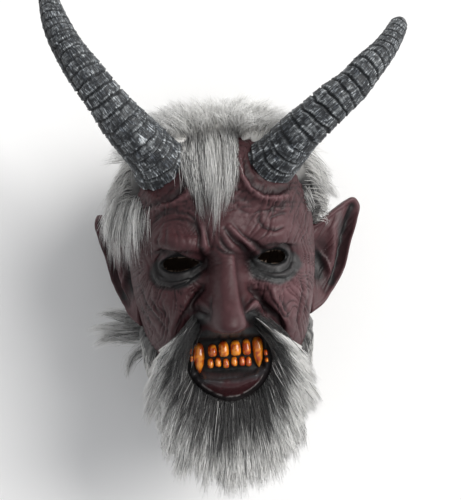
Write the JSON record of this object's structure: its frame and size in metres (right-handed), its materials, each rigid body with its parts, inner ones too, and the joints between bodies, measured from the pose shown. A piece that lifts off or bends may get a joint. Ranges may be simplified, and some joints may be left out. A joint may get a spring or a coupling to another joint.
{
  "type": "horned devil mask",
  "caption": "Full-head latex krampus mask with ringed horns, pointed ears, long hooked nose, orange teeth, shaggy grey fur hair and a fur beard.",
  "frame": {"origin": "centre of the flat place that the back of the fur hood rests on, level with the eyes", "axes": "mask lying on its back: +X to the viewer's right, +Y to the crown and the horns, +Z out of the face"},
  "size_m": [0.3005, 0.4255, 0.2353],
  "materials": {
    "latex": "satin",
    "horn": "satin",
    "fur": "matte"
  },
  "bodies": {
    "root": {"mask_shell": "latex", "horn_left": "horn", "horn_right": "horn", "hair": "fur", "beard": "fur"}
  },
  "joints": []
}
